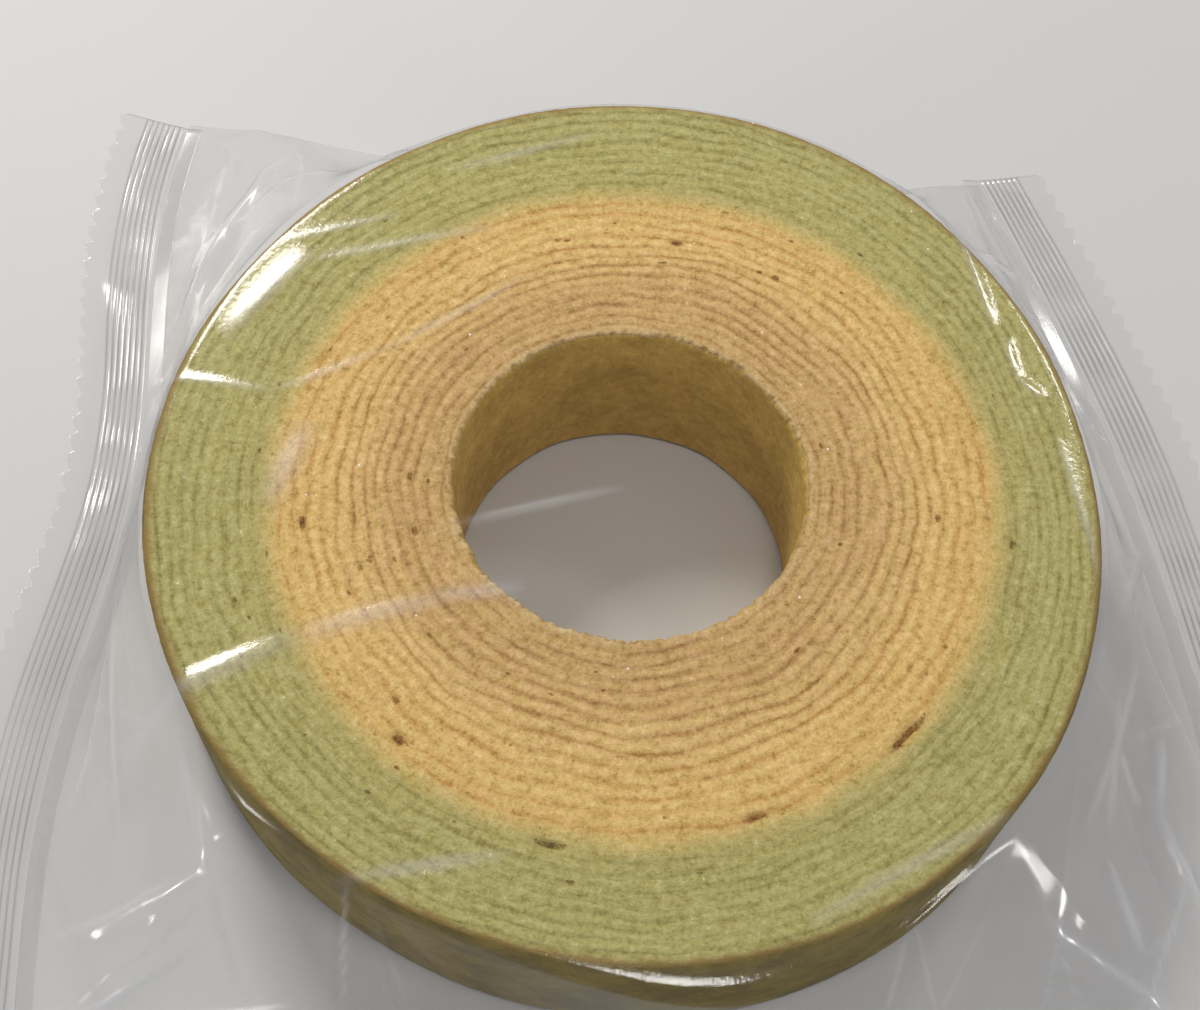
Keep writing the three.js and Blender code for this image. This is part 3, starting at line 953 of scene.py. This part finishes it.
def plain_drum(name):
    drum = upright_plane(name, 0, OUTER_RADIUS, WRAP_UNDERSIDE, WRAP_TOP)
    bpy.ops.mesh.select_all(action="SELECT")
    bpy.ops.mesh.delete(type="ONLY_FACE")
    select_where(drum.data, lambda co: co.x < 1e-5)
    bpy.ops.mesh.delete(type="EDGE")
    divide_where(drum.data, lambda co: co.z > WRAP_TOP - 1e-6, DRUM_TOP_CUTS)
    divide_where(drum.data, lambda co: co.z < WRAP_UNDERSIDE + 1e-6, DRUM_UNDERSIDE_CUTS)
    divide_where(drum.data, lambda co: co.x > OUTER_RADIUS - 1e-6, DRUM_SIDE_CUTS)
    turn_round_axis(drum, DRUM_STEPS)
    go_to("OBJECT")
    print(name, "starts as a drum of", len(drum.data.polygons), "faces")
    return drum


def part_at_shoulder(drum, name):
    """Takes the drum's top off as a piece of its own."""
    go_to("EDIT")
    select_where(drum.data, lambda co: co.z > SHOULDER)
    bpy.ops.mesh.separate(type="SELECTED")
    go_to("OBJECT")
    top = next(piece for piece in bpy.context.selected_objects if piece != drum)
    top.name = name
    return top


film_skirt = plain_drum("film_skirt")
film_top = part_at_shoulder(film_skirt, "film_top")
print("the top has", len(film_top.data.polygons), "faces")

# %% [markdown]
# Film folds along straight lines: long ridges that run from the rim to the seals and from seal
# to seal, with flat facets between them. Waves that rise and fall in straight ramps, laid over
# each other in a few directions, give such facets. The creases over the top and in the skirt
# are listed one by one, as low ridges that taper to both ends: a flank that leans a few degrees is
# enough to mirror a lamp.

# %% Folds and creases
FOLDS = (  # direction in degrees, distance between folds and height in mm, and a shift
    (84, 27, 3.4, 0.13), (103, 19, 2.2, 0.62), (66, 31, 2.6, 0.41), (120, 23, 1.7, 0.87),
    (36, 29, 1.5, 0.27), (149, 31, 1.5, 0.55), (93, 9.5, 0.45, 0.34), (74, 7, 0.25, 0.71),
)
FOLD_BEND = 2.6
FOLD_DRIFTS = ((38, 9, 9, 51), (44, 3, 5, 52))  # length in mm, two shifts and a seed
FOLD_PATCH = 34
FOLD_ROUNDING = 0.12
FULL_FOLD = 2.5
TOP_CREASES = (  # both ends in mm from the axis, then height and half width in mm
    (-84, 14.7, -60, 13.2, 0.17, 1.0), (-61, 13.2, -42, 23, 0.1, 0.9),
    (-44, 22, -20, 40, 0.07, 0.9), (-80, -48, -49, -31, 0.55, 2.4),
    (-52, -32, -27, -22, 0.36, 2.4), (-31, -23, -15, -20, 0.15, 2.2),
    (54, 64, 62.5, 35, 0.42, 1.0), (64.3, 34, 65.5, 25, 0.32, 0.8), (65.3, 26, 69.8, 21, 0.32, 0.8),
    (-64, 44, -44, 52, 0.1, 1.1), (-60, 40, -26, 50, 0.08, 1.2), (-28, -10, 0, -1, 0.3, 1.3),
    (-59, -9, -54, 8, 0.12, 3.2), (-71.5, 23, -58, 43, 0.22, 2.5),
    (-36, 62, -10, 72, 0.12, 1.2), (30, -72, 62, -52, 0.3, 1.6), (-40, -70, -14, -64, 0.25, 1.5),
    (72.5, 14, 77.6, -12, 0.16, 1.1),
)
SKIRT_CREASES = (
    (-90, -76, -58, -66, 1.6, 1.6), (-73, -30, -57, -82, 1.4, 1.5), (-70, 84, -91, 31, 1.3, 1.4),
    (60, 108, 87, 48, 1.6, 1.3), (84, -12, 97, 10, 1.2, 1.3), (75, -52, 89, -18, 1.5, 1.3),
    (80, -54, 87, -69, 1.3, 1.4), (-68, 101, -48, 91, 1.2, 1.4), (84, 90, 99, 104, 1.4, 1.5),
    (-86, -20, -79, -60, 1.2, 1.3), (68, -66, 96, -78, 1.1, 1.3), (90, -40, 104, -72, 1.3, 1.5),
    (-88, 52, -60, 76, 1.0, 1.3), (62, 66, 84, 74, 1.0, 1.2), (-62, -76, -88, -92, 1.2, 1.4),
    (83, -28, 80, -50, 0.9, 1.5), (81.5, -35.5, 88, -43.5, 0.8, 1.4), (93, -30, 92, -44, 0.8, 1.5),
)


def straight_fold(position):
    """A wave of straight ramps: 0 in the rounded valleys and 1 on the sharp crests."""
    return np.hypot(np.abs(position - np.floor(position) - 0.5) * 2, FOLD_ROUNDING)


def film_folds(x, y):
    """Height of the skirt's folds at full slack, in metres, and how near their crests are."""
    x_mm, y_mm = x / MM, y / MM
    bend_x, bend_y = [
        FOLD_BEND * lattice_noise(x_mm / length + to_x, y_mm / length + to_y, seed)
        for length, to_x, to_y, seed in FOLD_DRIFTS]
    total = np.zeros_like(x)
    crest = np.zeros_like(x)
    for number, (degrees, spacing, height, shift) in enumerate(FOLDS):
        turn = math.radians(degrees)
        across = (x_mm + bend_x) * math.sin(turn) - (y_mm + bend_y) * math.cos(turn)
        wave = straight_fold(across / spacing + shift)
        present = 0.7 + 0.6 * lattice_noise(
            x_mm / FOLD_PATCH + 40, y_mm / FOLD_PATCH + 7 * number, 53)
        total += height * present * (wave - 0.5)
        sharp = 1 - soft_step((1 - wave) * spacing, 0.0, 1.1)
        sharp *= soft_step(present, 0.55, 1.1) * min(1.0, height / FULL_FOLD)
        crest = np.maximum(crest, sharp)
    return total * MM, np.clip(crest, 0, 1)


def film_creases(x, y, creases):
    """Height of a list of creases, and how sharply the film is bent there."""
    height = np.zeros_like(x)
    bent = np.zeros_like(x)
    for x0, y0, x1, y1, rise, half_width in creases:
        start, step = (x0 * MM, y0 * MM), ((x1 - x0) * MM, (y1 - y0) * MM)
        length = math.hypot(*step)
        along = ((x - start[0]) * step[0] + (y - start[1]) * step[1]) / length ** 2
        across = ((x - start[0]) * step[1] - (y - start[1]) * step[0]) / length / MM
        sway = 0.5 * np.sin(3 * along + x0) * np.clip(along, 0, 1)
        taper = np.sin(np.pi * np.clip(along, 0, 1)) ** 0.6
        ridge = taper * np.exp(-((across - sway) / half_width) ** 2)
        height = np.maximum(height, rise * MM * ridge)
        bent = np.maximum(bent, taper * np.exp(-((across - sway) / half_width * 1.6) ** 2))
    return height, bent


print(len(FOLDS), "sets of folds and", len(TOP_CREASES) + len(SKIRT_CREASES), "creases")

# %% Pull the drum out into the wrap
SKIRT_SPREAD = 1.15
SKIRT_SAG = 1.3
FULL_SLACK = 22 * MM
RIM_SLOPE = 0.12 * MM
RIM_SLOPE_WIDTH = 9 * MM
FILM_ROUNDING = 2 * MM
TOP_SWAY = 0.08 * MM
SHELF = 5.5 * MM
SHELF_ANGLE = math.radians(-74)
SHELF_SPREAD = math.radians(19)
SHELF_DROOP = 0.8 * MM
DROOP_WIDTH = 4.5 * MM
PUCKER = 0.6 * MM
PUCKER_REACH = 13 * MM
PUCKER_WIDTH = 5 * MM
PUCKER_LENGTH = 30 * MM
SWAY_LENGTHS = (17 * MM, 13 * MM)
UNDERSIDE_BENT = -0.1
TOP_BENT = 0.5
RIM_GATHER = 0.12 * MM


def seal_puckers(x, y):
    """Small gathers that run into each seal, where the flat tube was pressed shut."""
    side = np.sign(x)
    inside = np.where(side < 0, seal_reach(-1, y) + x, seal_reach(1, y) - x)
    gathers = lattice_noise(y / PUCKER_WIDTH + 30, x / PUCKER_LENGTH + 9, 54)
    gathers = np.maximum(1 - 3.0 * np.abs(gathers), 0)
    return PUCKER * gathers * (1 - soft_step(inside, 0, PUCKER_REACH)) * (inside > 0)


def shelf_share(angle):
    """1 where the film stands off the cake like a shelf, and 0 away from there."""
    return np.exp(-((angle - SHELF_ANGLE) / SHELF_SPREAD) ** 2)


def rim_reach(angle):
    """Where the film leaves the top: just outside the cake, and further out at the front."""
    gathers = RIM_GATHER * ring_noise(angle, angle * 0, 110, 62)
    edge = OUTER_RADIUS + wave_sum(OUTER_WAVES, angle) + WRAP_RIM_GAP
    return edge + gathers + SHELF * shelf_share(angle)


def round_rim(from_edge, on_side):
    """Inward and downward moves that bend the film round the crust instead of over an edge."""
    bend = math.pi / 4 * (1 - np.clip(from_edge / FILM_ROUNDING, 0, 1))
    turn = np.where(on_side, math.pi / 2 - bend, bend)
    inward = FILM_ROUNDING * (1 - np.sin(turn))
    downward = FILM_ROUNDING * (1 - np.cos(turn))
    used = np.minimum(from_edge, FILM_ROUNDING)
    return np.where(on_side, inward, inward - used), np.where(on_side, downward - used, downward)


def shape_wrap(drum):
    """Pulls every point of a plain drum to its place on the wrap."""
    mesh = drum.data
    points = read_points(mesh)
    mark = np.hypot(points[:, 0], points[:, 1]) / OUTER_RADIUS
    angle = np.arctan2(points[:, 1], points[:, 0])
    down = np.clip((WRAP_TOP - points[:, 2]) / (WRAP_TOP - WRAP_UNDERSIDE), 0, 1)
    under = down > 1 - 1e-5
    side = (mark > 1 - 1e-5) & ~under
    rim = rim_reach(angle)
    reach = wrap_reach(angle)
    fall = WRAP_FOOT + (WRAP_TOP - WRAP_FOOT) * (1 - down) ** SKIRT_SAG
    inward, downward = round_rim(np.where(side, WRAP_TOP - fall, rim * (1 - mark)), side)
    radius = np.where(side, rim + (reach - rim) * down ** SKIRT_SPREAD, mark * rim) - inward
    radius = np.where(under, mark * reach, radius)
    x, y = radius * np.cos(angle), radius * np.sin(angle)
    top_creases, bent = film_creases(x, y, TOP_CREASES)
    skirt_creases, skirt_bent = film_creases(x, y, SKIRT_CREASES)
    top_slope = RIM_SLOPE * soft_step(rim - radius, 0, RIM_SLOPE_WIDTH)
    over = np.where(side, 1 - down, np.clip(1 - rim * (1 - mark) / DROOP_WIDTH, 0, 1) ** 2)
    downward += SHELF_DROOP * shelf_share(angle) * over
    sway = lattice_noise(x / SWAY_LENGTHS[0] + 20, y / SWAY_LENGTHS[1] + 20, 61)
    top_height = WRAP_TOP + top_slope + TOP_SWAY * sway + top_creases - downward
    slack = np.clip((reach - rim) / FULL_SLACK, 0, 1)
    hold = np.sin(np.pi * down ** 1.25) ** 0.7 * slack
    folds, crest = film_folds(x, y)
    lift = (folds + skirt_creases) * hold + top_creases * (1 - down) ** 4 - downward
    skirt_height = np.maximum(fall + lift + seal_puckers(x, y), WRAP_FOOT)
    height = np.where(side, skirt_height, top_height)
    height = np.where(under, WRAP_UNDERSIDE, height)
    place_points(mesh, x, y, height)
    bent *= TOP_BENT
    bent = np.where(side, np.maximum(np.maximum(crest, skirt_bent) * hold, bent), bent)
    write_attribute(mesh, "bent", np.where(under, UNDERSIDE_BENT, bent))
    on_crumb = soft_step(radius, HOLE_RADIUS, HOLE_RADIUS + 2 * MM) * (down < 1e-4)
    write_attribute(mesh, "on_crumb", on_crumb)
    mesh.update()
    mesh.shade_smooth()
    print(drum.name, "is pulled out to", round(float(radius.max()) / MM), "mm")


shape_wrap(film_skirt)
shape_wrap(film_top)

# %% [markdown]
# Each end of the tube is closed by a crimped seal: two layers of film pressed together between
# ribbed jaws, with a margin outside them that a toothed blade cut to a zigzag. A grid at the
# seal's place gets its ribs, its teeth and its curl from one formula, and the Solidify modifier
# gives it the thickness of both layers.

# %% Crimp the seals
SEAL_ROOT = 3 * MM
SEAL_WIDTH = 11.5 * MM
SEAL_HALF_LENGTH = 95.5 * MM
SEAL_CURL = 0.33
SEAL_RIPPLE = 1.1 * MM
SEAL_RIPPLE_LENGTH = 16 * MM
SEAL_LIFT = 0.3 * MM
SEAL_THICKNESS = 0.12 * MM
TEETH = 46
TOOTH_DEPTH = 1.4 * MM
TOOTH_LEAN = 0.72
TOOTH_ZONE = 2.4 * MM
STEPS_PER_TOOTH = 4
RIBS = 7
RIB_PITCH = 1.05 * MM
RIB_START = 0.6 * MM
RIB_HEIGHT = 0.13 * MM
SEAL_BENT = 0.02
LEFT_RIB_BENT = 0.3
RIGHT_RIB_BENT = 0.9
RIB_FADE = 0.2 * MM
KINK = 1.3 * MM
SMALL_KINK = 0.1 * MM
STEPS_ACROSS = 84


def tooth_out(along):
    """How far the cut edge stands out along the seal: long on one flank, short on the other."""
    part = along - np.floor(along)
    return np.where(part < TOOTH_LEAN, part / TOOTH_LEAN, (1 - part) / (1 - TOOTH_LEAN))


def make_seal(name, side, rib_bent):
    """A crimped seal on one side; rib_bent is how much light its ribs catch."""
    bpy.ops.object.select_all(action="DESELECT")
    bpy.ops.mesh.primitive_grid_add(
        x_subdivisions=STEPS_ACROSS, y_subdivisions=TEETH * STEPS_PER_TOOTH, size=1)
    seal = bpy.context.object
    seal.name = name
    mesh = seal.data
    points = read_points(mesh)
    share = points[:, 0] + 0.5
    along = points[:, 1] + 0.5
    out = share * (SEAL_ROOT + SEAL_WIDTH) - SEAL_ROOT
    at_edge = soft_step(out, SEAL_WIDTH - TOOTH_ZONE, SEAL_WIDTH)
    out += TOOTH_DEPTH * tooth_out(along * TEETH) * at_edge
    y = (2 * along - 1) * SEAL_HALF_LENGTH
    rib_end = RIB_START + RIBS * RIB_PITCH
    ribbed = soft_step(out, RIB_START - RIB_FADE, RIB_START)
    ribbed *= soft_step(-out, -rib_end - RIB_FADE, -rib_end)
    pressed = ribbed * (0.75 + 0.25 * lattice_noise(along * 31, share * 2 + 4, 71))
    wave = np.sin(math.tau * (out - RIB_START) / RIB_PITCH)
    crest = np.maximum(wave, 0) ** 2
    ribs = RIB_HEIGHT * pressed * crest
    ripple = SEAL_RIPPLE * np.sin(y * side / SEAL_RIPPLE_LENGTH) * share
    kinks = np.maximum(lattice_noise(along * 9, share * 1.2 + 8, 72 + side), -0.3)
    small_kinks = lattice_noise(along * 40, share * 2 + 5, 75 + side)
    kinks = KINK * kinks * share + SMALL_KINK * small_kinks * soft_step(share, 0.2, 0.6)
    lift = SEAL_CURL * np.maximum(out, 0) + ripple + kinks
    height = SEAL_LIFT + lift + ribs
    x = side * (seal_reach(side, y) + out)
    place_points(mesh, x, y, height)
    write_attribute(mesh, "bent", SEAL_BENT + rib_bent * pressed * crest ** 2)
    # the valleys between the ribs, where the film is tinted with painted shade
    write_attribute(mesh, "pressed", pressed * np.maximum(-wave, 0))
    mesh.update()
    mesh.shade_smooth()
    if side < 0:
        go_to("EDIT")
        bpy.ops.mesh.select_all(action="SELECT")
        bpy.ops.mesh.flip_normals()
        go_to("OBJECT")
    layers = seal.modifiers.new("layers", "SOLIDIFY")
    layers.thickness = SEAL_THICKNESS
    bpy.ops.object.modifier_apply(modifier=layers.name)
    print(name, "has", TEETH, "teeth and", RIBS, "ribs;", len(mesh.polygons), "faces")
    return seal


left_seal = make_seal("left_seal", -1, LEFT_RIB_BENT)
right_seal = make_seal("right_seal", 1, RIGHT_RIB_BENT)

# %% [markdown]
# The film is clear and glossy. It can be rendered as glass, but so thin a sheet bends no light,
# and glass would darken what lies under it. Here one shader lets light straight through and one
# reflects it, and the share of the second grows where the film is seen edge on, as on any gloss.
# Light on its way to a lamp goes straight through, as so thin a film casts hardly a shadow. Where
# the film is bent sharply it is stressed and turns a little white, which a small share of a dull
# white shader gives. Between the ribs of a seal, where two layers are squeezed together, the clear
# shader is tinted grey: painted shade for the dark lines there. Where the film lies on the cake it
# takes a faint print of the crumb, which breaks up its highlights.

# %% Material of the film
FILM_CLEAR = (0.985, 0.985, 0.985, 1)
FILM_VALLEY_SHADE = (0.78, 0.78, 0.78, 1)
FILM_WHITE = (0.9, 0.9, 0.9, 1)
FILM_ROUGHNESS = 0.12
BENT_ROUGHNESS = 0.2
LEAST_GLOSS = 0.04
EDGE_GLOSS = 0.85
EDGE_POWER = 4.6
BENT_GLOSS = 0.3
FILM_WHITENING = 0.22
CRUMB_PRINT_SCALE = 1100
CRUMB_PRINT_DEPTH = 0.03 * MM


def mix_shaders(tree, share, first, second):
    """One shader where the share is 0 and the other where it is 1."""
    mix = tree.nodes.new("ShaderNodeMixShader")
    feed(tree, mix, {0: share, 1: first.outputs[0], 2: second.outputs[0]})
    return mix


def gloss_share(tree, bent):
    """How much of the light the film reflects; none of it on its way to a lamp."""
    facing = tree.nodes.new("ShaderNodeLayerWeight").outputs["Facing"]
    edge = add_math(tree, "POWER", facing, EDGE_POWER)
    share = add_math(tree, "MULTIPLY_ADD", edge, EDGE_GLOSS, LEAST_GLOSS)
    share = add_math(tree, "MULTIPLY_ADD", bent, BENT_GLOSS, share, clamp=True)
    shadow_ray = tree.nodes.new("ShaderNodeLightPath").outputs["Is Shadow Ray"]
    return add_math(tree, "MULTIPLY", share, add_math(tree, "SUBTRACT", 1.0, shadow_ray))


def film_material():
    material, tree, principled = new_material("clear_film", FILM_ROUGHNESS)
    tree.nodes.remove(principled)
    valley_shade = mesh_attribute(tree, "pressed").outputs["Fac"]
    bent = mesh_attribute(tree, "bent").outputs["Fac"]
    rough = add_math(tree, "ABSOLUTE", bent)
    rough = add_math(tree, "MULTIPLY_ADD", rough, BENT_ROUGHNESS, FILM_ROUGHNESS)
    clear = tree.nodes.new("ShaderNodeBsdfTransparent")
    # painted shade: the valleys between a seal's ribs let less light through
    feed(tree, clear, {"Color": add_mix(tree, valley_shade, FILM_CLEAR, FILM_VALLEY_SHADE)})
    gloss = tree.nodes.new("ShaderNodeBsdfGlossy")
    feed(tree, gloss, {"Roughness": rough})
    white = tree.nodes.new("ShaderNodeBsdfDiffuse")
    feed(tree, white, {"Color": FILM_WHITE})
    film = mix_shaders(tree, gloss_share(tree, bent), clear, gloss)
    whitening = add_math(tree, "MULTIPLY", bent, FILM_WHITENING, clamp=True)
    film = mix_shaders(tree, whitening, film, white)
    feed(tree, tree.nodes["Material Output"], {"Surface": film.outputs[0]})
    on_crumb = mesh_attribute(tree, "on_crumb").outputs["Fac"]
    print_height = add_noise(tree, object_place(tree), CRUMB_PRINT_SCALE, 2)
    add_bump(tree, gloss, add_math(tree, "MULTIPLY", print_height, on_crumb), CRUMB_PRINT_DEPTH)
    return material


film_finish = film_material()
for piece in (film_top, film_skirt, left_seal, right_seal):
    piece.data.materials.append(film_finish)
    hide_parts("clear_wrap")
    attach(piece, "root")
print("the wrap is dressed in", film_finish.name)

# %% [markdown]
# The studio is plain: a pale floor that runs out of view, a soft lamp high up behind and to the
# left, a smaller one behind and to the right, one overhead, two weak low ones at the front corners
# and an even grey world that fills the shadows. A film shows a lamp as a patch of white, so every
# lamp stands where the flat top would mirror it just outside the cake, and only film that is bent
# catches it, in the places where the photograph shows light.

# %% Floor and lights
FLOOR_SIZE = 3.0
FLOOR_LEVEL = -0.3 * MM
FLOOR_COLOUR = screen_colour(204, 203, 202)
FLOOR_ROUGHNESS = 0.6
WORLD_COLOUR = (0.93, 0.95, 1.0, 1.0)
WORLD_STRENGTH = 0.36
WARM_WHITE = (1.0, 0.98, 0.96)
LAMPS = (  # name, place and size in metres, power in watts, and colour
    ("key_lamp", (-0.406, 0.642, 0.685), 0.23, 5.7, (1.0, 0.97, 0.93)),
    ("right_lamp", (0.438, 0.62, 0.79), 0.11, 1.0, WARM_WHITE),
    ("high_lamp", (0.06, -0.109, 1.03), 0.155, 1.8, WARM_WHITE),
    ("low_left_lamp", (-0.8, -0.46, 0.28), 0.12, 0.7, WARM_WHITE),
    ("low_right_lamp", (0.82, -0.44, 0.28), 0.12, 0.7, WARM_WHITE),
)


def make_floor():
    bpy.ops.object.select_all(action="DESELECT")
    bpy.ops.mesh.primitive_plane_add(size=FLOOR_SIZE, location=(0, 0, FLOOR_LEVEL))
    floor = bpy.context.object
    floor.name = "floor"
    material, tree, shader = new_material("pale_floor", FLOOR_ROUGHNESS)
    feed(tree, shader, {"Base Color": FLOOR_COLOUR})
    floor.data.materials.append(material)


def soft_lamp(name, place, size, power, colour):
    data = bpy.data.lights.new(name, "AREA")
    data.size = size
    data.energy = power
    data.color = colour
    lamp = bpy.data.objects.new(name, data)
    bpy.context.scene.collection.objects.link(lamp)
    lamp.location = place
    lamp.rotation_euler = (-Vector(place)).to_track_quat("-Z", "Y").to_euler()


def even_world():
    world = bpy.data.worlds.new("studio")
    world.use_nodes = True
    background = world.node_tree.nodes["Background"]
    feed(world.node_tree, background, {"Color": WORLD_COLOUR, "Strength": WORLD_STRENGTH})
    bpy.context.scene.world = world


make_floor()
for lamp_values in LAMPS:
    soft_lamp(*lamp_values)
even_world()
bpy.context.scene.view_settings.view_transform = "Standard"
print("the studio has", len(LAMPS), "lamps")
